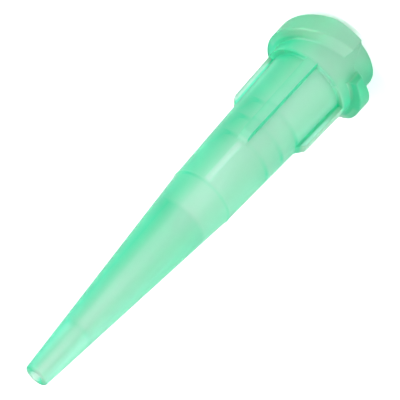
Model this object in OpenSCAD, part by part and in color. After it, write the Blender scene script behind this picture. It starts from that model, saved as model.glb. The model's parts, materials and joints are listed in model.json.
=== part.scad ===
// Tapered dispensing tip for a luer lock syringe or barrel adapter.
// It is moulded in one piece: a ribbed hub with two lock lugs outside and a
// tapered socket inside, and a long cone that narrows to a short straight outlet.
// The open mouth of the hub lies at z = 0 and the outlet is straight above it.
// All lengths are in millimetres and all angles in degrees.

/* [Length] */
// Height of the tip from the mouth of the hub to the outlet
tip_height = 31.75; // [30:0.25:40]
// Height of the step where the hub ends and the cone starts
hub_height = 15; // [13:0.25:17]
// Height of the collar that carries the lugs
collar_height = 3.6; // [3.4:0.1:5]

/* [Outside diameters] */
// Collar at the mouth, where it is widest
collar_mouth_d = 6.36; // [6.3:0.02:6.6]
// Collar at its upper edge
collar_top_d = 6.2; // [6:0.02:6.3]
// Hub between the ribs, just above the collar
hub_bottom_d = 5.34; // [5:0.02:5.6]
// Hub just below the step
hub_top_d = 4.5; // [4.44:0.02:4.8]
// Cone just above the step
cone_bottom_d = 4.38; // [4:0.02:4.42]
// Cone at the outlet
cone_top_d = 1.64; // [1.5:0.02:2.2]

/* [Step and edges] */
// Height over which the hub narrows to the cone
step_run = 0.5; // [0.2:0.05:1]
// How far the ridge on the edge of the step stands proud
step_ridge = 0.03; // [0.01:0.01:0.08]
// Radius that rounds the outer edge of the outlet
outlet_round = 0.14; // [0.02:0.01:0.25]

/* [Bore] */
// Diameter of the outlet hole
outlet_d = 0.84; // [0.4:0.02:1.1]
// Length of the straight hole behind the outlet
outlet_land = 4.1; // [2:0.05:6]
// Length of the short cone that leads into the straight hole
outlet_lead_in = 0.3; // [0.1:0.05:1]
// Bore of the cone where it meets the lead-in
cone_bore_top_d = 1.2; // [1.14:0.02:1.3]
// Bore of the cone just above the inner step
cone_bore_bottom_d = 2.6; // [2:0.02:2.74]
// Height of the inner step between the hub bore and the cone bore
bore_step_z = 17.3; // [15.8:0.1:19]
// Bore of the hub just below the inner step
hub_bore_top_d = 2.86; // [2.76:0.02:3]
// Bore of the hub just above the inner rings
hub_bore_bottom_d = 3.16; // [3.02:0.02:3.3]

/* [Socket] */
// Diameter of the luer socket at the mouth
socket_d = 4.3; // [4.26:0.01:4.34]
// Depth of the luer socket
socket_depth = 7.85; // [7.5:0.05:8.5]
// Taper of the socket, in percent of its diameter over its length
socket_taper = 6; // [5:0.5:6.5]
// Number of inner rings between the socket and the hub bore
ring_count = 3; // [2:1:5]
// Height of each inner ring
ring_pitch = 1.57; // [0.6:0.01:1.8]

/* [Ribs] */
// Thickness of a rib at the collar
rib_bottom_t = 0.88; // [0.6:0.02:1.2]
// Thickness that the ribs would thin to at the height of the step
rib_top_t = 0.64; // [0.4:0.02:1]
// Height of the outer corner of the two long ribs
long_rib_z = 10.55; // [9:0.05:12]
// Height of the outer corner of the two short ribs
short_rib_z = 7.7; // [6:0.05:8.8]
// How much higher a rib ends at its foot than at its outer corner
rib_end_run = 0.62; // [0.2:0.02:1]
// Slope of a rib's outer edge towards the axis
rib_draft = 1.65; // [0.5:0.05:2.5]

/* [Lugs] */
// Diameter over the two lugs
lug_d = 7.8; // [7.4:0.02:8]
// Rise of a lug in one full turn, with two starts
lug_lead = 5; // [4:0.1:6]
// Angle that a lug covers round the collar
lug_sweep = 154; // [120:1:160]
// Turn of the lower end of the first lug from the first long rib
lug_turn = -26.6; // [-45:0.1:45]
// Height of a lug's flat lower face above the mouth
lug_floor_z = 0.34; // [0.2:0.02:0.5]
// Height where the upper edge of a lug's crest levels out
lug_ceiling_z = 2.6; // [2.3:0.02:2.8]
// Height of the crest's upper edge at the lower end of the lug
lug_end_z = 1.33; // [1.2:0.01:1.5]
// Width of the crest across the lug
lug_crest = 1.46; // [1.2:0.02:1.6]
// Height that each flank takes from the crest to the collar
lug_flank = 0.52; // [0.3:0.02:0.6]
// Size of the bevel that softens the edges of the crest
lug_bevel = 0.1; // [0.04:0.01:0.2]

/* [Relief at the mouth] */
// Diameter of the relieved rim below the lugs
relief_d = 6.12; // [5.9:0.02:6.2]
// Height of the relieved rim
relief_height = 1.7; // [1.2:0.05:1.8]
// Angle between the lower end of a lug and the middle of the relief's slanted side
relief_gap = 10.3; // [6:0.1:20]
// Lean of the slanted side away from the axis
relief_lean = 23; // [0:1:40]

/* [Hidden] */
$fn = 96;

lug_steps = 32;
inset = 0.3;
tuck = 0.03;
reach = 40;
collar_mouth_r = collar_mouth_d / 2;
collar_top_r = collar_top_d / 2;
hub_bottom_r = hub_bottom_d / 2;
hub_top_r = hub_top_d / 2;
cone_bottom_r = cone_bottom_d / 2;
cone_top_r = cone_top_d / 2;
outlet_r = outlet_d / 2;
socket_r = socket_d / 2;
lug_r = lug_d / 2;
relief_r = relief_d / 2;
lug_foot_r = collar_top_r;
land_z = tip_height - outlet_land;
lug_slope = lug_flank / (lug_r - lug_foot_r);
mint = [0.62, 0.93, 0.79, 0.75];

// Radius of the hub between the ribs at height z
function hub_r(z) = hub_bottom_r
    + (hub_top_r - hub_bottom_r) * (z - collar_height) / (hub_height - collar_height);

// Radius of the ribs' outer edges at height z
function rib_r(z) = collar_top_r - (z - collar_height) * tan(rib_draft);

// Radius of the luer socket at height z
function socket_r_at(z) = socket_r - z * socket_taper / 200;

// Bore radius on the level of the given inner ring, counted from the socket
function ring_r(level) = socket_r_at(socket_depth)
    + (hub_bore_bottom_d / 2 - socket_r_at(socket_depth)) * level / ring_count;

// Points of the quarter circle that rounds the outlet's outer edge
function outlet_edge() = [
    for (a = [0:22.5:90])
        [cone_top_r - outlet_round * (1 - cos(a)), tip_height - outlet_round * (1 - sin(a))]
];

// Half outline of the solid body, from the mouth up to the outlet
function body_outline() = concat(
    [
        [0, 0],
        [collar_mouth_r, 0],
        [collar_top_r, collar_height],
        [hub_bottom_r, collar_height],
        [hub_top_r, hub_height - 2 * step_ridge],
        [hub_top_r + step_ridge, hub_height],
        [cone_bottom_r, hub_height + step_run]
    ],
    outlet_edge(),
    [[0, tip_height]]
);

// Half outline of the inner rings, two points to each
function ring_outline() = [
    for (i = [1:ring_count], end = [0, 1])
        [ring_r(i), socket_depth + (i - 1 + end) * ring_pitch]
];

// Half outline of everything that is hollow
function bore_outline() = concat(
    [
        [0, -1],
        [socket_r_at(-1), -1],
        [socket_r_at(socket_depth), socket_depth]
    ],
    ring_outline(),
    [
        [hub_bore_top_d / 2, bore_step_z],
        [cone_bore_bottom_d / 2, bore_step_z],
        [cone_bore_top_d / 2, land_z - outlet_lead_in],
        [outlet_r, land_z],
        [outlet_r, tip_height + 1],
        [0, tip_height + 1]
    ]
);

// Section of a lug at the given angle from its lower end. The crest's upper edge
// climbs with the thread until it levels out at the ceiling, and its lower edge and
// foot leave the flat floor once the thread has climbed far enough.
function lug_section(turn) =
    let (
        thread_z = lug_end_z + lug_lead * turn / 360,
        top_z = min(thread_z, lug_ceiling_z),
        low_z = thread_z - lug_crest,
        foot_drop = lug_slope * (lug_r - lug_foot_r + inset)
    )
    [
        [lug_foot_r - inset, top_z + foot_drop],
        [lug_r - lug_bevel, top_z + lug_slope * lug_bevel],
        [lug_r, top_z - lug_bevel],
        [lug_r, max(low_z, lug_floor_z) + lug_bevel],
        [lug_r - lug_bevel, max(low_z - lug_slope * lug_bevel, lug_floor_z)],
        [lug_foot_r - inset, max(low_z - foot_drop, lug_floor_z)]
    ];

// One lug, swept round the axis from its lower end to its upper end
module lug() {
    corners = len(lug_section(0));
    points = [
        for (i = [0:lug_steps], p = lug_section(lug_sweep * i / lug_steps))
            let (turn = lug_sweep * i / lug_steps)
                [p[0] * cos(turn), p[0] * sin(turn), p[1]]
    ];
    sides = [
        for (i = [0:lug_steps - 1], k = [0:corners - 1])
            let (a = i * corners + k, b = i * corners + (k + 1) % corners)
                each [[a, b + corners, b], [a, a + corners, b + corners]]
    ];
    lower_end = [for (k = [0:corners - 1]) k];
    upper_end = [for (k = [corners - 1:-1:0]) lug_steps * corners + k];
    polyhedron(points, concat(sides, [lower_end, upper_end]));
}

// The two lugs, on opposite sides of the collar
module lugs() {
    for (side = [0, 180])
        rotate(lug_turn + side) lug();
}

// Shallow relief round the rim, one field below each lug
module mouth_relief() {
    for (side = [0, 180])
        rotate(lug_turn + side)
            intersection() {
                difference() {
                    cylinder(h = relief_height, r = collar_mouth_r + 1);
                    cylinder(h = relief_height, r = relief_r);
                }
                translate([-reach, -reach, -reach]) cube([2 * reach, reach, 2 * reach]);
                rotate(-relief_gap)
                    translate([0, 0, relief_height / 2])
                        rotate([-relief_lean, 0, 0])
                            translate([-reach, -reach, -reach]) cube([2 * reach, reach, 2 * reach]);
            }
}

// Two opposite ribs whose outer corners are at height top_z. Each ends in a slant
// that runs on into the wall of the hub.
module rib_pair(top_z) {
    foot_z = top_z + rib_end_run;
    foot_r = hub_r(foot_z);
    slant = rib_end_run / (rib_r(top_z) - foot_r);
    intersection() {
        rotate_extrude()
            polygon([
                [foot_r - inset, collar_height - inset],
                [collar_top_r - tuck, collar_height - inset],
                [collar_top_r, collar_height],
                [rib_r(top_z), top_z],
                [foot_r - inset, foot_z + inset * slant]
            ]);
        rotate([90, 0, 90])
            translate([0, 0, -reach])
                linear_extrude(2 * reach)
                    polygon([
                        [-rib_bottom_t / 2, collar_height - inset],
                        [rib_bottom_t / 2, collar_height - inset],
                        [rib_top_t / 2, hub_height],
                        [-rib_top_t / 2, hub_height]
                    ]);
    }
}

module dispensing_tip() {
    color(mint)
        difference() {
            union() {
                difference() {
                    rotate_extrude() polygon(body_outline());
                    mouth_relief();
                }
                rib_pair(long_rib_z);
                rotate(90) rib_pair(short_rib_z);
                lugs();
            }
            rotate_extrude() polygon(bore_outline());
        }
}

dispensing_tip();
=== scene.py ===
"""Looks of the tapered dispensing tip: one frosted, mint green moulding on a pale floor.

The tip is one skin. A ring grid of points runs up the outside of the moulding and
back down its bore, and a Geometry Nodes tree works out where the outside lies from
the moulding's sizes: collar, hub, ribs, lugs, relief and cone, each blended into the
next by the small radii that a mould has.
"""

import json
import logging
import math
from dataclasses import dataclass, fields
from enum import Enum
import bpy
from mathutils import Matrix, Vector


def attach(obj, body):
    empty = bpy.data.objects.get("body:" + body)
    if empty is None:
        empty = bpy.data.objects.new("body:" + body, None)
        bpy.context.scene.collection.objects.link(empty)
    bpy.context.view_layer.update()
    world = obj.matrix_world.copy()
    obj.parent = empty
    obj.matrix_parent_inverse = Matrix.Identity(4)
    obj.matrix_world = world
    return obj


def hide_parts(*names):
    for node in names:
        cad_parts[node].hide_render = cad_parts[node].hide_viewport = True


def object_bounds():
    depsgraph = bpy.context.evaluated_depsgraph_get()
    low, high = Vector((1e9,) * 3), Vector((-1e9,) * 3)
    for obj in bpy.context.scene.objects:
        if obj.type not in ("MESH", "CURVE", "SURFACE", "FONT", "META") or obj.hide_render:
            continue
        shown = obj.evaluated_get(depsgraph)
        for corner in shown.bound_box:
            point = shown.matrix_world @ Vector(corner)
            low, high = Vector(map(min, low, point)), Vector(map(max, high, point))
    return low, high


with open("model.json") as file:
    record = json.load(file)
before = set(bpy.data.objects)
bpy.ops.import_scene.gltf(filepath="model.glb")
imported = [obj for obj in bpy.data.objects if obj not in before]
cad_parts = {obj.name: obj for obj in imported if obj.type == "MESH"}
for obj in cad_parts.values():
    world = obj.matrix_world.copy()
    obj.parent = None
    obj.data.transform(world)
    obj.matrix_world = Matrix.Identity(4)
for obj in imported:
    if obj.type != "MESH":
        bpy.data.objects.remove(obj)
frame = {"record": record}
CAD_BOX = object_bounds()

from types import SimpleNamespace
from typing import Any, Iterable, Optional, Union

import bpy
from mathutils import Quaternion, Vector

LOG = logging.getLogger("dispensing_tip")
MM = 0.001
NODE = "dispensing_tip"
OUTLET = next(mount for mount in frame["record"]["mounts"] if mount["name"] == "outlet")["dims"]

Number = Union[float, "Signal"]


# --------------------------------------------------------------------------- node maths


class Graph:
    """A node tree that is built by calls, one node to a call."""

    def __init__(self, tree: bpy.types.NodeTree) -> None:
        """Keep the tree and start it empty.

        Args:
            tree: shader or geometry node tree to build in.
        """
        self.tree = tree
        tree.nodes.clear()

    def node(self, kind: str, settings: Optional[dict] = None, values: Optional[dict] = None) -> Any:
        """Add one node.

        Args:
            kind: the node's type name, such as ShaderNodeMath.
            settings: the node's own properties, set before its sockets.
            values: sockets by name or number, with a number, colour, link or Signal for each.

        Returns:
            The new node.
        """
        made = self.tree.nodes.new(kind)
        for name, value in (settings or {}).items():
            setattr(made, name, value)
        for key, value in (values or {}).items():
            self.feed(made.inputs[key], value)
        return made

    def feed(self, socket: bpy.types.NodeSocket, value: Any) -> None:
        """Give a socket its link or its value.

        Args:
            socket: input socket of a node.
            value: a Signal or an output socket to link, or a plain value.
        """
        if isinstance(value, Signal):
            value = value.socket
        if isinstance(value, bpy.types.NodeSocket):
            self.tree.links.new(value, socket)
        else:
            socket.default_value = value

    def signal(self, socket: bpy.types.NodeSocket) -> "Signal":
        """Wrap an output socket for arithmetic."""
        return Signal(self, socket)


class Signal:
    """A number that runs through a node tree and is worked on with Python's operators."""

    def __init__(self, graph: Graph, socket: bpy.types.NodeSocket) -> None:
        """Wrap a socket.

        Args:
            graph: the graph that the socket belongs to.
            socket: output socket that carries the number.
        """
        self.graph = graph
        self.socket = socket

    def _math(self, operation: str, *others: Number, first: Optional[Number] = None) -> "Signal":
        """Add a Math node.

        Args:
            operation: the node's operation.
            others: operands after the first.
            first: operand to put before the others, where it isn't this signal.

        Returns:
            The node's result.
        """
        operands = (self if first is None else first, *others)
        made = self.graph.node(
            "ShaderNodeMath", {"operation": operation}, dict(enumerate(operands))
        )
        return Signal(self.graph, made.outputs[0])

    def __add__(self, other: Number) -> "Signal":
        """Sum."""
        return self._math("ADD", other)

    __radd__ = __add__

    def __sub__(self, other: Number) -> "Signal":
        """Difference."""
        return self._math("SUBTRACT", other)

    def __rsub__(self, other: Number) -> "Signal":
        """Difference from a plain number."""
        return self._math("SUBTRACT", self, first=other)

    def __mul__(self, other: Number) -> "Signal":
        """Product."""
        return self._math("MULTIPLY", other)

    __rmul__ = __mul__

    def __truediv__(self, other: Number) -> "Signal":
        """Quotient."""
        return self._math("DIVIDE", other)

    def __rtruediv__(self, other: Number) -> "Signal":
        """Quotient of a plain number."""
        return self._math("DIVIDE", self, first=other)

    def __pow__(self, other: Number) -> "Signal":
        """Power."""
        return self._math("POWER", other)

    def __abs__(self) -> "Signal":
        """Absolute value."""
        return self._math("ABSOLUTE")

    def low(self, other: Number, blend: Number = 0.0) -> "Signal":
        """The lower of two, rounded off over a blend distance."""
        return self._math("SMOOTH_MIN", other, blend)

    def high(self, other: Number, blend: Number = 0.0) -> "Signal":
        """The higher of two, rounded off over a blend distance."""
        return self._math("SMOOTH_MAX", other, blend)

    def clip(self) -> "Signal":
        """The signal held between 0 and 1."""
        made = self.graph.node("ShaderNodeClamp", values={"Value": self})
        return Signal(self.graph, made.outputs[0])

    def wrap(self, period: float) -> "Signal":
        """The signal brought into the range from 0 to the period."""
        return self._math("WRAP", period, 0.0)

    def sine(self) -> "Signal":
        """Sine of an angle in radians."""
        return self._math("SINE")

    def cosine(self) -> "Signal":
        """Cosine of an angle in radians."""
        return self._math("COSINE")

    def tangent(self) -> "Signal":
        """Tangent of an angle in radians."""
        return self._math("TANGENT")

    def turn_from(self, across: "Signal") -> "Signal":
        """Angle in radians of the point that lies this far up and so far across."""
        return self._math("ARCTAN2", across)

    def root(self) -> "Signal":
        """Square root."""
        return self._math("SQRT")


# --------------------------------------------------------------------------- sizes


@dataclass(frozen=True)
class TipSizes:
    """Sizes of the moulding, in millimetres and radians."""

    height: float = (CAD_BOX[1].z - CAD_BOX[0].z) / MM
    collar_height: float = 3.6
    collar_mouth_r: float = 3.18
    collar_top_r: float = 3.1
    hub_height: float = 15.0
    hub_bottom_r: float = 2.67
    hub_top_r: float = 2.25
    cone_bottom_r: float = 2.19
    cone_top_r: float = 0.82
    step_run: float = 0.5
    step_ridge: float = 0.03
    rib_bottom_t: float = 0.88
    rib_top_t: float = 0.64
    long_rib_z: float = 10.55
    short_rib_z: float = 7.55
    rib_end_slope: float = 1.28
    rib_tuck: float = 0.3
    rib_foot_slope: float = 20.0
    rib_draft: float = math.radians(1.65)
    lug_r: float = 3.87
    lug_lead: float = 5.0
    lug_sweep: float = math.radians(154)
    lug_turn: float = math.radians(-26.6)
    lug_floor_z: float = 0.34
    lug_ceiling_z: float = 2.6
    lug_end_z: float = 1.33
    lug_crest: float = 1.46
    lug_slope: float = 0.65
    lug_end_slope: float = 0.25
    lug_slope_start: float = math.radians(55)
    lug_slope_run: float = math.radians(80)
    relief_r: float = 3.06
    relief_height: float = 1.7
    relief_gap: float = math.radians(10.3)
    relief_lean: float = math.radians(23)
    edge_round: float = 0.06
    outlet_round: float = 0.14
    ridge_reach: float = 0.14
    relief_edge: float = 0.07
    face_slope: float = 22.0
    lug_end_face_slope: float = 9.0
    lug_end_inset: float = 0.02
    step_blend: float = 0.02
    collar_edge_blend: float = 0.05
    collar_blend: float = 0.08
    rib_edge_blend: float = 0.1
    rib_blend: float = 0.14
    lug_edge_blend: float = 0.16
    lug_floor_blend: float = 0.09
    lug_end_blend: float = 0.12
    lug_blend: float = 0.1


@dataclass(frozen=True)
class BoreSizes:
    """Sizes of the hollow inside the moulding, in millimetres."""

    socket_r: float = 2.15
    socket_depth: float = 7.85
    socket_slope: float = 0.03
    ring_count: int = 3
    ring_pitch: float = 1.57
    hub_bore_bottom_r: float = 1.58
    hub_bore_top_r: float = 1.43
    step_z: float = 17.3
    cone_bore_bottom_r: float = 1.3
    cone_bore_top_r: float = 0.6
    lead_in: float = 0.3
    outlet_r: float = OUTLET["r_mm"]
    outlet_land: float = OUTLET["length_mm"]
    edge_round: float = 0.05
    corner_cut: float = 0.03
    row_step: float = 2.2


@dataclass(frozen=True)
class Band:
    """A stretch of a ring grid that is divided finely."""

    low: float
    high: float
    step: float

    def away(self, at: float) -> float:
        """How far a place lies outside the stretch, 0 inside it."""
        return max(self.low - at, at - self.high, 0.0)


def divide(start: float, end: float, bands: Iterable[Band], coarse: float, spread: float) -> list[float]:
    """Divide a line, finely in its bands and more coarsely with distance from them.

    Args:
        start: where the line starts.
        end: where it ends, which is left out.
        bands: the stretches to divide finely.
        coarse: the widest step.
        spread: how much a step widens with its distance from a band.

    Returns:
        Places along the line, the first at its start.
    """
    bands = list(bands)
    places = []
    at = start
    while at < end - 1e-9:
        places.append(at)
        at += min([coarse] + [band.step + spread * band.away(at) for band in bands])
    return places


# --------------------------------------------------------------------------- the skin


class TipSkin:
    """The moulding's whole surface, outside and bore, as one closed mesh."""

    def __init__(self, sizes: TipSizes, bore: BoreSizes, material: bpy.types.Material) -> None:
        """Keep the sizes and the finish.

        Args:
            sizes: outside sizes.
            bore: sizes of the hollow.
            material: what the moulding is made of.
        """
        self.sizes = sizes
        self.bore = bore
        self.material = material

    def build(self) -> bpy.types.Object:
        """Make the skin.

        Returns:
            A mesh object at the origin, with its place in its mesh.
        """
        grid = self._ring_grid()
        modifier = grid.modifiers.new("outside", "NODES")
        modifier.node_group = self._outside_tree()
        for item in modifier.node_group.interface.items_tree:
            if item.in_out == "INPUT" and item.socket_type == "NodeSocketFloat":
                modifier[item.identifier] = float(getattr(self.sizes, item.name))
        bpy.context.view_layer.update()
        evaluated = grid.evaluated_get(bpy.context.evaluated_depsgraph_get())
        mesh = bpy.data.meshes.new_from_object(evaluated)
        grid.modifiers.clear()
        bpy.data.objects.remove(grid)
        mesh.name = "tip_skin"
        for name in ("azimuth", "height"):
            mesh.attributes.remove(mesh.attributes[name])
        mesh.shade_smooth()
        skin = bpy.data.objects.new("tip_skin", mesh)
        bpy.context.scene.collection.objects.link(skin)
        return skin

    def _azimuths(self) -> list[float]:
        """Divide the circle finely where a rib, lug or relief has a side.

        Returns:
            Angles of the grid's columns, in radians.
        """
        s = self.sizes
        bands = []
        for quarter in range(5):
            middle = 90.0 * quarter
            bands += [Band(middle - 10.8, middle - 7.2, 0.42), Band(middle + 7.2, middle + 10.8, 0.42)]
        lug = math.degrees(s.lug_turn)
        sweep = math.degrees(s.lug_sweep)
        gap = math.degrees(s.relief_gap)
        for side in (0, 180, 360, 540):
            end = lug + side
            bands += [
                Band(end - 1.0, end + 2.0, 0.42),
                Band(end + sweep - 2.5, end + sweep + 0.8, 0.42),
                Band(end - gap - 7.0, end - gap + 7.0, 0.8),
            ]
        return [math.radians(a) for a in divide(0.0, 360.0, bands, 4.0, 0.4)]

    def _heights(self) -> list[float]:
        """Divide the height finely where the outside turns sharply.

        Returns:
            Heights of the grid's outer rows, in millimetres.
        """
        s = self.sizes
        bands = [
            Band(0.0, s.edge_round, 0.012),
            Band(s.lug_floor_z - 0.05, s.lug_floor_z + 0.1, 0.018),
            Band(s.lug_floor_z, 3.1, 0.042),
            Band(s.collar_height - 0.06, s.collar_height + 0.08, 0.014),
            Band(s.short_rib_z - 0.1, s.short_rib_z + 0.9, 0.05),
            Band(s.long_rib_z - 0.1, s.long_rib_z + 0.9, 0.05),
            Band(s.hub_height - 0.15, s.hub_height + s.step_run + 0.1, 0.035),
        ]
        places = divide(0.0, s.height - s.outlet_round, bands, 0.8, 0.25)
        steps = 8
        for i in range(steps + 1):
            places.append(s.height - s.outlet_round * (1 - math.sin(math.pi / 2 * i / steps)))
        return places

    def _bore_outline(self) -> list[tuple[float, float]]:
        """Follow the bore from the outlet down to the mouth.

        Returns:
            Radius and height of each row, in millimetres.
        """
        s, b = self.sizes, self.bore
        top = s.height
        end_r = b.socket_r - b.socket_slope * b.socket_depth
        rounding = [math.pi / 2 * i / 4 for i in range(5)]
        rows = [
            (b.outlet_r + b.edge_round * (1 - math.sin(a)), top - b.edge_round * (1 - math.cos(a)))
            for a in rounding
        ]
        land_z = top - b.outlet_land
        corners = [
            (b.outlet_r, land_z),
            (b.cone_bore_top_r, land_z - b.lead_in),
            (b.cone_bore_bottom_r, b.step_z),
            (b.hub_bore_top_r, b.step_z),
        ]
        for level in range(b.ring_count, 0, -1):
            radius = end_r + (b.hub_bore_bottom_r - end_r) * level / b.ring_count
            low = b.socket_depth + (level - 1) * b.ring_pitch
            corners += [(radius, low + b.ring_pitch), (radius, low)]
        corners += [(end_r, b.socket_depth), (b.socket_r - b.socket_slope * b.edge_round, b.edge_round)]
        rows += soften(rows[-1], corners, b.corner_cut, b.row_step)
        rows += [
            (b.socket_r + b.edge_round * (1 - math.cos(a)), b.edge_round * (1 - math.sin(a)))
            for a in rounding[1:]
        ]
        return rows

    def _ring_grid(self) -> bpy.types.Object:
        """Make the closed ring grid that the tree shapes.

        Returns:
            An object whose points carry their azimuth and height, the bore's in place.
        """
        azimuths, heights = self._azimuths(), self._heights()
        rows = [(None, z) for z in heights] + self._bore_outline()
        count, columns = len(rows), len(azimuths)
        points, angle_of, height_of, outside = [], [], [], []
        for radius, z in rows:
            for a in azimuths:
                r = self.sizes.hub_bottom_r if radius is None else radius
                points.append((r * math.cos(a) * MM, r * math.sin(a) * MM, z * MM))
                angle_of.append(a)
                height_of.append(z)
                outside.append(radius is None)
        faces = []
        for i in range(count):
            below, above = i * columns, (i + 1) % count * columns
            for j in range(columns):
                k = (j + 1) % columns
                faces.append((below + j, below + k, above + k, above + j))
        mesh = bpy.data.meshes.new("ring_grid")
        mesh.from_pydata(points, [], faces)
        for name, values in (("azimuth", angle_of), ("height", height_of), ("outside", outside)):
            kind = "BOOLEAN" if name == "outside" else "FLOAT"
            mesh.attributes.new(name, kind, "POINT").data.foreach_set("value", values)
        grid = bpy.data.objects.new("ring_grid", mesh)
        bpy.context.scene.collection.objects.link(grid)
        LOG.info("ring grid: %d rows by %d columns", count, columns)
        return grid

    def _outside_tree(self) -> bpy.types.NodeTree:
        """Build the tree that moves the grid's outer points to the moulding's outside.

        Returns:
            A geometry tree with one input for each size.
        """
        tree = bpy.data.node_groups.new("moulded_outside", "GeometryNodeTree")
        faces = tree.interface
        faces.new_socket("Geometry", in_out="INPUT", socket_type="NodeSocketGeometry")
        for size in fields(TipSizes):
            faces.new_socket(size.name, in_out="INPUT", socket_type="NodeSocketFloat")
        faces.new_socket("Geometry", in_out="OUTPUT", socket_type="NodeSocketGeometry")
        graph = Graph(tree)
        given = graph.node("NodeGroupInput")
        s = SimpleNamespace(
            **{size.name: graph.signal(given.outputs[size.name]) for size in fields(TipSizes)}
        )
        azimuth = self._attribute(graph, "azimuth", "FLOAT")
        z = self._attribute(graph, "height", "FLOAT")
        radius = self._body(s, z)
        radius = radius.high(self._collar(s, azimuth, z), s.collar_blend)
        radius = radius.high(self._rib(s, azimuth.sine(), z, s.long_rib_z), s.rib_blend)
        radius = radius.high(self._rib(s, azimuth.cosine(), z, s.short_rib_z), s.rib_blend)
        radius = radius.high(self._lug(s, azimuth, z), s.lug_blend)
        radius = radius - self._rounding(s.edge_round, s.edge_round - z)
        radius = radius - self._rounding(s.outlet_round, z - s.height + s.outlet_round)
        place = graph.node(
            "ShaderNodeCombineXYZ",
            values={"X": radius * azimuth.cosine() * MM, "Y": radius * azimuth.sine() * MM, "Z": z * MM},
        )
        moved = graph.node(
            "GeometryNodeSetPosition",
            values={
                "Geometry": given.outputs["Geometry"],
                "Selection": self._attribute(graph, "outside", "BOOLEAN"),
                "Position": place.outputs[0],
            },
        )
        real = graph.node("GeometryNodeRealizeInstances", values={"Geometry": moved.outputs[0]})
        dressed = graph.node(
            "GeometryNodeSetMaterial",
            values={"Geometry": real.outputs[0], "Material": self.material},
        )
        graph.node("NodeGroupOutput", values={"Geometry": dressed.outputs[0]})
        return tree

    @staticmethod
    def _attribute(graph: Graph, name: str, kind: str) -> Signal:
        """Read one of the grid's point attributes.

        Args:
            graph: graph to read it in.
            name: the attribute's name.
            kind: FLOAT or BOOLEAN.

        Returns:
            The attribute as a signal.
        """
        made = graph.node("GeometryNodeInputNamedAttribute", {"data_type": kind}, {"Name": name})
        shown = next(out for out in made.outputs if out.enabled and out.name == "Attribute")
        return graph.signal(shown)

    @staticmethod
    def _body(s: SimpleNamespace, z: Signal) -> Signal:
        """Radius of the hub, the step with its ridge, and the cone.

        Args:
            s: sizes as signals.
            z: height.

        Returns:
            Radius at that height.
        """
        hub_fall = (s.hub_bottom_r - s.hub_top_r) / (s.hub_height - s.collar_height)
        hub = s.hub_top_r + (s.hub_height - z) * hub_fall
        drop = s.hub_top_r - (z - s.hub_height) * ((s.hub_top_r - s.cone_bottom_r) / s.step_run)
        cone_fall = (s.cone_bottom_r - s.cone_top_r) / (s.height - s.hub_height - s.step_run)
        cone = s.cone_top_r + (s.height - z) * cone_fall
        ridge = (1.0 - abs(z - s.hub_height) / s.ridge_reach).high(0.0, 0.3) * s.step_ridge
        return hub.low(drop.high(cone, s.step_blend), s.step_blend) + ridge

    @staticmethod
    def _collar(s: SimpleNamespace, azimuth: Signal, z: Signal) -> Signal:
        """Radius of the collar, with the relieved field below each lug.

        Args:
            s: sizes as signals.
            azimuth: angle round the axis.
            z: height.

        Returns:
            Radius of the collar, well below the hub's past the collar's upper edge.
        """
        draft = (s.collar_mouth_r - s.collar_top_r) / s.collar_height
        full = s.collar_mouth_r - z * draft
        behind_lug = (s.lug_turn - azimuth).wrap(math.pi)
        middle = s.relief_height * 0.5
        slanted = (behind_lug - s.relief_gap) * s.relief_r - (z - middle) * s.relief_lean.tangent()
        sunk = slanted.low(s.relief_height - z).low((math.pi - behind_lug) * s.relief_r)
        field = (sunk / s.relief_edge).clip()
        relieved = full - (full - s.relief_r) * field
        edge = s.collar_top_r - (z - s.collar_height) * s.face_slope
        return relieved.low(edge, s.collar_edge_blend)

    @staticmethod
    def _rib(s: SimpleNamespace, across: Signal, z: Signal, top_z: Signal) -> Signal:
        """Radius of two opposite ribs.

        Args:
            s: sizes as signals.
            across: sine of the angle from the pair's own plane.
            z: height.
            top_z: height of the ribs' outer corners.

        Returns:
            Radius of the pair, well below the hub's away from it.
        """
        climb = (z - s.collar_height) / (s.hub_height - s.collar_height)
        half = (s.rib_bottom_t - (s.rib_bottom_t - s.rib_top_t) * climb) * 0.5
        side = half / abs(across).high(0.02)
        fall = s.rib_draft.tangent()
        outer = s.collar_top_r - (z - s.collar_height) * fall
        corner_r = s.collar_top_r - (top_z - s.collar_height) * fall
        slant = corner_r - (z - top_z) / s.rib_end_slope
        edge = (z - s.collar_height + s.rib_tuck) * s.rib_foot_slope
        return outer.low(side, s.rib_edge_blend).low(slant, s.rib_edge_blend).low(edge)

    @staticmethod
    def _lug(s: SimpleNamespace, azimuth: Signal, z: Signal) -> Signal:
        """Radius of the two lugs.

        Args:
            s: sizes as signals.
            azimuth: angle round the axis.
            z: height.

        Returns:
            Radius of the lugs, well below the collar's away from them.
        """
        turn = (azimuth - s.lug_turn).wrap(math.pi)
        thread = s.lug_end_z + s.lug_lead * turn / (2 * math.pi)
        top = thread.low(s.lug_ceiling_z, s.lug_end_blend)
        to_end = s.lug_sweep - turn
        eased = ((to_end - s.lug_slope_start) / s.lug_slope_run).clip()
        upper_slope = s.lug_end_slope + (s.lug_slope - s.lug_end_slope) * eased
        upper = s.lug_r + (top - z) / upper_slope
        lower = s.lug_r + (z - thread + s.lug_crest) / s.lug_slope
        floor = s.lug_r + (z - s.lug_floor_z) * s.face_slope
        near_end = s.lug_r + (turn * s.lug_r - s.lug_end_inset) * s.lug_end_face_slope
        far_end = s.lug_r + (to_end * s.lug_r - s.lug_end_inset) * s.lug_end_face_slope
        crest = upper.low(s.lug_r, s.lug_edge_blend).low(lower, s.lug_edge_blend)
        crest = crest.low(floor, s.lug_floor_blend)
        return crest.low(near_end, s.lug_end_blend).low(far_end, s.lug_end_blend)

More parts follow.
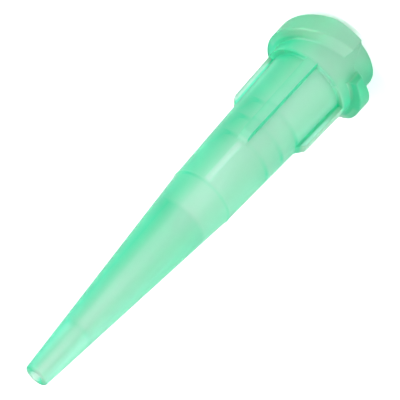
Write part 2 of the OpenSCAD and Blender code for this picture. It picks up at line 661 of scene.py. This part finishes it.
    @staticmethod
    def _rounding(size: Signal, past: Signal) -> Signal:
        """How much an edge is rounded away.

        Args:
            size: radius of the rounding.
            past: how far a place lies beyond the start of the rounding.

        Returns:
            What comes off the radius there.
        """
        over = past.high(0.0).low(size)
        return size - (size * size - over * over).root()


def soften(
    start: tuple[float, float], corners: list[tuple[float, float]], cut: float, step: float
) -> list[tuple[float, float]]:
    """Follow an outline, with each corner cut short and long stretches divided.

    Args:
        start: point that the outline comes from.
        corners: the points to pass, the last one kept as it is.
        cut: how far each corner is cut on either side.
        step: the longest stretch between two points.

    Returns:
        The points after the start.
    """
    path = [start, *corners]
    points: list[tuple[float, float]] = []
    for i in range(1, len(path)):
        before, here = Vector(path[i - 1]), Vector(path[i])
        run = here - before
        first = before if i == 1 else before + run.normalized() * min(cut, run.length / 3)
        last = here if i == len(path) - 1 else here - run.normalized() * min(cut, run.length / 3)
        pieces = max(1, math.ceil((last - first).length / step))
        begin = 1 if i == 1 else 0
        points += [tuple(first.lerp(last, k / pieces)) for k in range(begin, pieces + 1)]
    return points


# --------------------------------------------------------------------------- finishes


@dataclass(frozen=True)
class FrostedMint:
    """Frosted, see-through mint green polypropylene.

    Its painted shade, painted highlight and faint painted glow are set by their place on the tip,
    not by the lamps: they stand in for how light passes through thicker or thinner wall, and for
    a highlight on the hub. Angles are in degrees and lengths in millimetres.
    """

    name: str = "frosted_mint"
    thin_colour: tuple = (0.85, 0.99, 0.90, 1.0)
    # Colours painted in for light and shade: the painted shade's colour, then the painted highlight's
    # colour.
    painted_shade_colour: tuple = (0.11, 0.82, 0.55, 1.0)
    painted_highlight_colour: tuple = (0.96, 1.0, 0.98, 1.0)
    tint: tuple = (0.05, 1.00, 0.80, 1.0)
    tint_per_metre: float = 370.0
    roughness: float = 0.37
    refraction: float = 1.46
    clarity: float = 0.74
    # Strengths of the painted shade by place, and how much paler it is painted on ribs and lugs.
    collar_painted_shade: float = 0.5
    side_painted_shade: float = 0.75
    stripe_painted_shade: float = 0.40
    ring_painted_shade: float = 0.84
    step_painted_shade: float = 0.21
    cone_painted_shade: float = 0.25
    land_painted_shade: float = 0.16
    rib_edge_painted_shade: float = 1.02
    rib_paleness: float = 0.69
    lug_paleness: float = 0.41
    lug_end_painted_shade: float = 0.73
    side_turn: float = 19.0
    stripe_turn: float = 38.0
    # The painted highlight: its azimuth on the hub, and how much of it is also painted in as glow.
    painted_gleam_turn: float = -1.0
    painted_gleam: float = 0.06
    # A faint green glow painted into the painted shade.
    painted_glow_colour: tuple = (0.0, 0.020, 0.010, 1.0)
    long_rib_painted_shade: float = 0.36
    ring_width: float = 0.24
    ring_fade: float = 1.1
    step_width: float = 0.17
    cone_fade: float = 10.0
    edge_width: float = 0.07
    foot_width: float = 0.1
    lug_end_turn: float = 15.0
    # Height where the painted highlight starts on the hub.
    painted_gleam_start_z: float = 11.2
    sharpness: float = 8.0

    def material(self) -> bpy.types.Material:
        """Make the material.

        Returns:
            The finished material.
        """
        made = bpy.data.materials.new(self.name)
        made.use_nodes = True
        graph = Graph(made.node_tree)
        place = graph.node("ShaderNodeTexCoord").outputs["Object"]
        grain = graph.node(
            "ShaderNodeTexNoise", values={"Vector": place, "Scale": 5200.0, "Detail": 2.0}
        )
        cloud = graph.node(
            "ShaderNodeTexNoise", values={"Vector": place, "Scale": 420.0, "Detail": 3.0}
        )
        haze = graph.signal(cloud.outputs["Fac"]) - 0.5
        bump = graph.node(
            "ShaderNodeBump",
            values={"Strength": 0.12, "Distance": 0.00003, "Height": grain.outputs["Fac"]},
        )
        # Painted shade and painted highlight, set by place on the tip and not by the lamps; the random
        # cloud added on top is the frosting's own.
        painted_shade, painted_gleam = self._painted_shade_and_highlight(graph, place)
        coloured = self._mix(graph, painted_shade + haze * 0.12, self.thin_colour, self.painted_shade_colour)
        # The painted highlight lightens the base colour.
        coloured = self._mix(graph, painted_gleam, coloured, self.painted_highlight_colour)
        # Emission carries a faint painted green glow where the painted shade lies, and part of the
        # painted highlight as glow.
        lit = self._mix(graph, painted_shade, (0.0, 0.0, 0.0, 1.0), self.painted_glow_colour)
        glow = self._mix(graph, painted_gleam * self.painted_gleam, lit, self.painted_highlight_colour)
        shader = graph.node(
            "ShaderNodeBsdfPrincipled",
            values={
                "Base Color": coloured,
                "Roughness": haze * 0.16 + self.roughness,
                "IOR": self.refraction,
                "Transmission Weight": self.clarity,
                "Normal": bump.outputs["Normal"],
                "Emission Color": glow,
                "Emission Strength": 1.0,
            },
        )
        tint = graph.node(
            "ShaderNodeVolumeAbsorption", values={"Color": self.tint, "Density": self.tint_per_metre}
        )
        graph.node(
            "ShaderNodeOutputMaterial",
            values={"Surface": shader.outputs[0], "Volume": tint.outputs[0]},
        )
        return made

    @staticmethod
    def _mix(graph: Graph, factor: Signal, first: Any, second: Any) -> bpy.types.NodeSocket:
        """Mix two colours.

        Args:
            graph: graph to work in.
            factor: share of the second colour.
            first: a colour or a colour socket.
            second: a colour or a colour socket.

        Returns:
            The mixed colour.
        """
        made = graph.node(
            "ShaderNodeMix",
            {"data_type": "RGBA", "clamp_factor": True},
            {"Factor": factor, 6: first, 7: second},
        )
        return made.outputs[2]

    def _painted_shade_and_highlight(self, graph: Graph, place: bpy.types.NodeSocket) -> tuple[Signal, Signal]:
        """Work out the painted shade, where the wall is painted deeper in colour, and the painted
        highlight on the hub.

        Args:
            graph: graph to work in.
            place: object coordinates, in metres.

        Returns:
            Strength of the painted shade and of the painted highlight, each from 0 to 1.
        """
        at = self._spot(graph, place)
        painted_shade = self._painted_side_shade(at) + self._painted_ring_shade(at) + self._painted_cone_shade(at) + self._painted_rib_edge_shade(at)
        # Painted shade near one end of each lug.
        lug_end_turn = at.s.lug_turn + at.s.lug_sweep - math.radians(self.lug_end_turn)
        lug_end = abs((at.azimuth - lug_end_turn).cosine())
        painted_shade = painted_shade + at.on_lug * ((lug_end - 0.86) / 0.12).clip() * self.lug_end_painted_shade
        # A painted highlight: a narrow streak along the hub facing one fixed azimuth, which stays in
        # place when the camera or the lamps move.
        lit = abs((at.azimuth - math.radians(self.painted_gleam_turn)).cosine())
        painted_gleam = ((lit - 0.994) / 0.006).clip() * ((at.z - self.painted_gleam_start_z) / 0.4).clip()
        painted_gleam = painted_gleam * ((at.s.hub_height - 0.05 - at.z) / 0.2).clip()
        return painted_shade, painted_gleam

    def _spot(self, graph: Graph, place: bpy.types.NodeSocket) -> SimpleNamespace:
        """Describe a place on the tip by signals that the painted shade and painted highlight share.

        Args:
            graph: graph to work in.
            place: object coordinates, in metres.

        Returns:
            Sizes, coordinates, and how far the place is on the collar, a rib or a lug.
        """
        s = TipSizes()
        split = graph.node("ShaderNodeSeparateXYZ", values={0: place})
        x, y, z = (graph.signal(out) / MM for out in split.outputs)
        azimuth = y.turn_from(x)
        radius = (x * x + y * y).root()
        collar = ((s.collar_height + 0.1 - z) / 0.3).clip()
        fall = (s.hub_bottom_r - s.hub_top_r) / (s.hub_height - s.collar_height)
        proud = radius - s.hub_bottom_r + (z - s.collar_height) * fall
        return SimpleNamespace(
            s=s,
            x=x,
            y=y,
            z=z,
            azimuth=azimuth,
            collar=collar,
            proud=proud,
            # side: share of painted side shade, set by azimuth alone.
            side=(azimuth + math.radians(self.side_turn)).sine() ** 2.0,
            long_side=((abs(x) - abs(y)) * self.sharpness).clip(),
            on_rib=((proud - 0.12) / 0.1).clip() * (1.0 - collar),
            on_lug=((radius - s.collar_mouth_r - 0.1) / 0.2).clip(),
        )

    def _painted_side_shade(self, at: SimpleNamespace) -> Signal:
        """Painted shade on the sides and a painted stripe, paler on the short ribs and the lugs.

        Args:
            at: the place.

        Returns:
            Strength of the painted shade.
        """
        painted_shade = at.side * (at.collar * self.collar_painted_shade + self.side_painted_shade)
        # A painted stripe, which stands in for light bent at the bore's edge.
        facing = abs((at.azimuth - math.radians(self.stripe_turn)).cosine())
        painted_shade = painted_shade + ((facing - 0.8) / 0.2).clip() * (1.0 - at.collar) * self.stripe_painted_shade
        painted_shade = painted_shade * (1.0 - at.on_rib * (1.0 - at.long_side) * self.rib_paleness)
        painted_shade = painted_shade * (1.0 - at.on_lug * self.lug_paleness)
        return painted_shade + at.on_rib * at.long_side * self.long_rib_painted_shade

    def _painted_ring_shade(self, at: SimpleNamespace) -> Signal:
        """Painted shade lines at the collar's edge and at each inner ring, fading towards the outlet;
        they stand in for the bore's steps seen through the wall.

        Args:
            at: the place.

        Returns:
            Strength of the painted shade.
        """
        b = BoreSizes()
        rings = self._line(at.z, at.s.collar_height, 0.14) * 0.5
        for level in range(b.ring_count):
            past = at.z - (b.socket_depth + 0.12 + level * b.ring_pitch)
            fading = (1.0 - past / self.ring_fade).clip() * (past * self.sharpness).clip()
            rings = rings + self._line(past, 0.0, self.ring_width) + fading * 0.35
        return rings * (at.side ** 1.5 + 0.12) * self.ring_painted_shade

    def _painted_cone_shade(self, at: SimpleNamespace) -> Signal:
        """Painted shade: the step's line, the deeper cone past the inner step, and the outlet bore's
        start.

        Args:
            at: the place.

        Returns:
            Strength of the painted shade.
        """
        b = BoreSizes()
        past = at.z - b.step_z
        cone = (past / 0.3).clip() * (1.0 - past / self.cone_fade).clip() * self.cone_painted_shade
        step = self._line(at.z, at.s.hub_height + 0.1, self.step_width) * self.step_painted_shade
        land = self._line(at.z, at.s.height - b.outlet_land + 0.25, 0.3) * self.land_painted_shade
        return cone + step + land

    def _painted_rib_edge_shade(self, at: SimpleNamespace) -> Signal:
        """Painted shade lines along the long ribs' clockwise sides and at the short ribs' feet.

        Args:
            at: the place.

        Returns:
            Strength of the painted shade.
        """
        s = at.s
        on_short = ((s.short_rib_z + 0.5 - at.z) * self.sharpness).clip()
        on_long = ((s.long_rib_z + 0.5 - at.z) * self.sharpness).clip() * at.long_side
        across = abs(at.x).low(abs(at.y))
        climb = (at.z - s.collar_height) / (s.hub_height - s.collar_height)
        half = (s.rib_bottom_t - climb * (s.rib_bottom_t - s.rib_top_t)) * 0.5
        # Only the long ribs' clockwise sides get the painted shade line.
        clockwise = (0.1 - at.x * at.y * self.sharpness).clip() * at.long_side
        side = self._line(across, half - 0.01, self.edge_width) * clockwise
        # Painted shade in the crease at each short rib's foot.
        low = ((0.2 - at.proud) / 0.1).clip() * (1.0 - at.long_side)
        foot = self._line(across, half + 0.04, self.foot_width) * low
        return (side + foot) * on_short.high(on_long) * (1.0 - at.collar) * self.rib_edge_painted_shade

    @staticmethod
    def _line(along: Signal, at: Number, half_width: float) -> Signal:
        """A soft line across a direction, 1 in its middle.

        Args:
            along: place along the direction.
            at: where the line lies.
            half_width: distance over which it fades out.

        Returns:
            Strength of the line.
        """
        return (1.0 - abs(along - at) / half_width).clip()


@dataclass(frozen=True)
class PaleFloor:
    """Pale studio floor that shows white and keeps a soft shadow."""

    name: str = "pale_floor"
    colour: tuple = (0.86, 0.86, 0.86, 1.0)
    lift: float = 0.35

    def material(self) -> bpy.types.Material:
        """Make the material.

        Returns:
            The finished material.
        """
        made = bpy.data.materials.new(self.name)
        made.use_nodes = True
        graph = Graph(made.node_tree)
        path = graph.node("ShaderNodeLightPath")
        seen = graph.signal(path.outputs["Is Camera Ray"])
        place = graph.node("ShaderNodeTexCoord").outputs["Object"]
        cloud = graph.node("ShaderNodeTexNoise", values={"Vector": place, "Scale": 30.0})
        roughness = graph.signal(cloud.outputs["Fac"]) * 0.1 + 0.75
        matt = graph.node(
            "ShaderNodeBsdfPrincipled",
            values={"Base Color": self.colour, "Roughness": roughness},
        )
        glow = graph.node("ShaderNodeEmission", values={"Strength": seen * self.lift})
        both = graph.node("ShaderNodeAddShader", values={0: matt.outputs[0], 1: glow.outputs[0]})
        graph.node("ShaderNodeOutputMaterial", values={"Surface": both.outputs[0]})
        return made


# --------------------------------------------------------------------------- studio


class Lamp(Enum):
    """The studio's soft lamps: azimuth, elevation, width and power of each."""

    KEY = (60.0, 50.0, 0.30, 1.4)
    FILL = (-110.0, 30.0, 0.30, 1.3)

    def place(self, aim: Vector, distance: float) -> bpy.types.Object:
        """Hang the lamp and turn it to its aim.

        Args:
            aim: point that the lamp looks at.
            distance: how far away it hangs.

        Returns:
            The lamp.
        """
        azimuth, elevation, width, power = self.value
        data = bpy.data.lights.new(f"{self.name.lower()}_lamp", "AREA")
        data.shape = "DISK"
        data.size = width
        data.energy = power
        back = from_angles(azimuth, elevation)
        lamp = bpy.data.objects.new(data.name, data)
        lamp.location = aim + back * distance
        lamp.rotation_mode = "QUATERNION"
        lamp.rotation_quaternion = back.to_track_quat("Z", "Y")
        bpy.context.scene.collection.objects.link(lamp)
        return lamp


@dataclass(frozen=True)
class Studio:
    """Floor, lamps, surroundings and camera."""

    floor_size: float = 4.0
    lamp_distance: float = 0.4
    surround: float = 0.67
    azimuth: float = -14.6
    elevation: float = 26.76
    roll: float = 137.25
    aim: tuple = (0.25 * MM, -0.11 * MM, 15.34 * MM)
    distance: float = 148.1 * MM
    lens: float = 207.0

    def build(self) -> None:
        """Make everything round the tip."""
        self._floor()
        for lamp in Lamp:
            lamp.place(Vector(self.aim), self.lamp_distance)
        self._surroundings()
        self._camera()
        bpy.context.scene.view_settings.view_transform = "Standard"

    def _floor(self) -> None:
        """Lay the floor at the height that the tip stands on."""
        half = self.floor_size / 2
        level = CAD_BOX[0].z
        corners = [(-half, -half, level), (half, -half, level), (half, half, level), (-half, half, level)]
        mesh = bpy.data.meshes.new("floor")
        mesh.from_pydata(corners, [], [(0, 1, 2, 3)])
        mesh.materials.append(PaleFloor().material())
        floor = bpy.data.objects.new("floor", mesh)
        bpy.context.scene.collection.objects.link(floor)

    def _surroundings(self) -> None:
        """Light the room evenly, and show it white behind the tip."""
        world = bpy.data.worlds.new("studio")
        world.use_nodes = True
        bpy.context.scene.world = world
        graph = Graph(world.node_tree)
        path = graph.node("ShaderNodeLightPath")
        seen = graph.signal(path.outputs["Is Camera Ray"])
        strength = seen * (1.0 - self.surround) + self.surround
        light = graph.node("ShaderNodeBackground", values={"Strength": strength})
        graph.node("ShaderNodeOutputWorld", values={"Surface": light.outputs[0]})

    def _camera(self) -> None:
        """Place the camera: its angles, then its roll about the view."""
        data = bpy.data.cameras.new("camera")
        data.lens = self.lens
        data.sensor_width = 36.0
        data.clip_start = 0.01
        data.clip_end = 10.0
        back = from_angles(self.azimuth, self.elevation)
        camera = bpy.data.objects.new("camera", data)
        camera.location = Vector(self.aim) + back * self.distance
        camera.rotation_mode = "QUATERNION"
        level = back.to_track_quat("Z", "Y")
        camera.rotation_quaternion = Quaternion(back, -math.radians(self.roll)) @ level
        bpy.context.scene.collection.objects.link(camera)
        bpy.context.scene.camera = camera


def from_angles(azimuth: float, elevation: float) -> Vector:
    """Direction from the part towards a place in the room.

    Args:
        azimuth: angle from +X towards +Y, in degrees.
        elevation: angle above the floor, in degrees.

    Returns:
        A unit vector.
    """
    a, e = math.radians(azimuth), math.radians(elevation)
    return Vector((math.cos(a) * math.cos(e), math.sin(a) * math.cos(e), math.sin(e)))


# --------------------------------------------------------------------------- all of it


def main() -> None:
    """Build the tip and its studio, and log the ring grid's size and the skin's face count."""
    logging.basicConfig(level=logging.INFO, format="%(name)s: %(message)s")
    skin = TipSkin(TipSizes(), BoreSizes(), FrostedMint().material()).build()
    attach(skin, "root")
    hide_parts(NODE)
    LOG.info("%s: %d faces", skin.name, len(skin.data.polygons))
    Studio().build()


if __name__ == "__main__":
    main()
